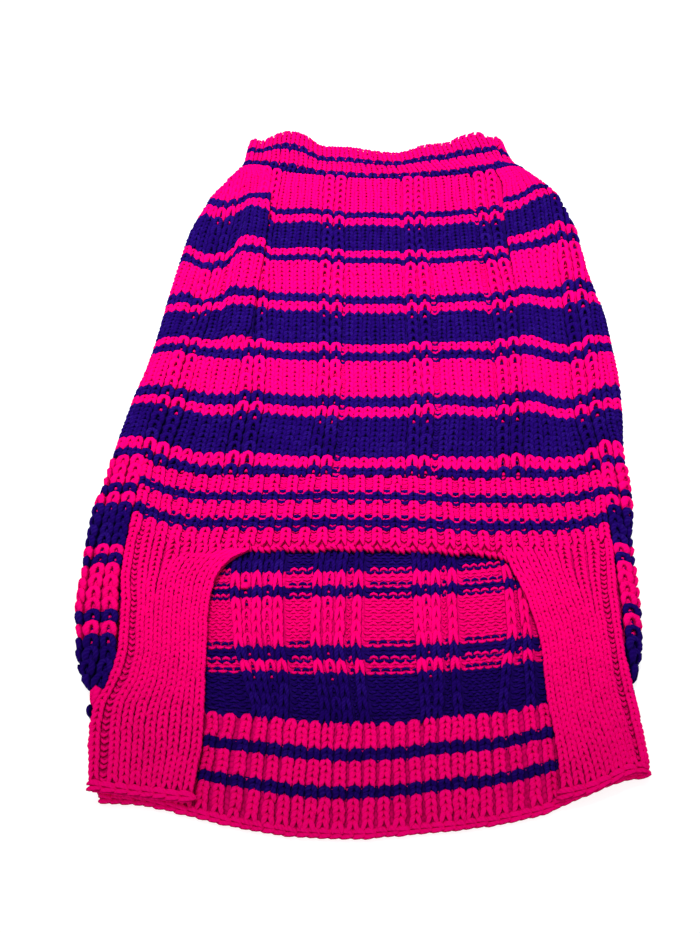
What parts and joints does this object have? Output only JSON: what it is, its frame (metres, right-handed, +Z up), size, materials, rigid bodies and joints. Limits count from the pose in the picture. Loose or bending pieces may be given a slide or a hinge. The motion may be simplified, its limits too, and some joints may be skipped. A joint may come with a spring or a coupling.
{
  "type": "dog sweater",
  "caption": "Chunky hand-knitted dog sweater in hot pink and purple stripes, laid flat belly side up, with a ribbed neck, leg slits, a ribbed belly cut-out and a ribbed hem.",
  "frame": {"origin": "middle of the sweater's footprint, on the surface that it lies on", "axes": "+Z up off the surface, out of the belly side; +Y along the sweater from the hem to the neck; +X across it to the right as it is seen with the neck away"},
  "size_m": [0.3271, 0.578, 0.0178],
  "materials": {
    "hot_pink_rib_knit": "matte wool-like yarn, K1P1 rib, pink with purple stripes",
    "purple_striped_knit": "matte wool-like yarn, stocking stitch with purl columns, purple and pink stripes"
  },
  "bodies": {
    "root": {"neck_rib_front": "hot_pink_rib_knit", "neck_rib_back": "hot_pink_rib_knit", "belly_panel": "purple_striped_knit", "side_left": "purple_striped_knit", "side_right": "purple_striped_knit", "back_panel": "purple_striped_knit", "belly_rib": "hot_pink_rib_knit", "strap_left": "hot_pink_rib_knit", "strap_right": "hot_pink_rib_knit", "hem_rib": "hot_pink_rib_knit"}
  },
  "joints": []
}
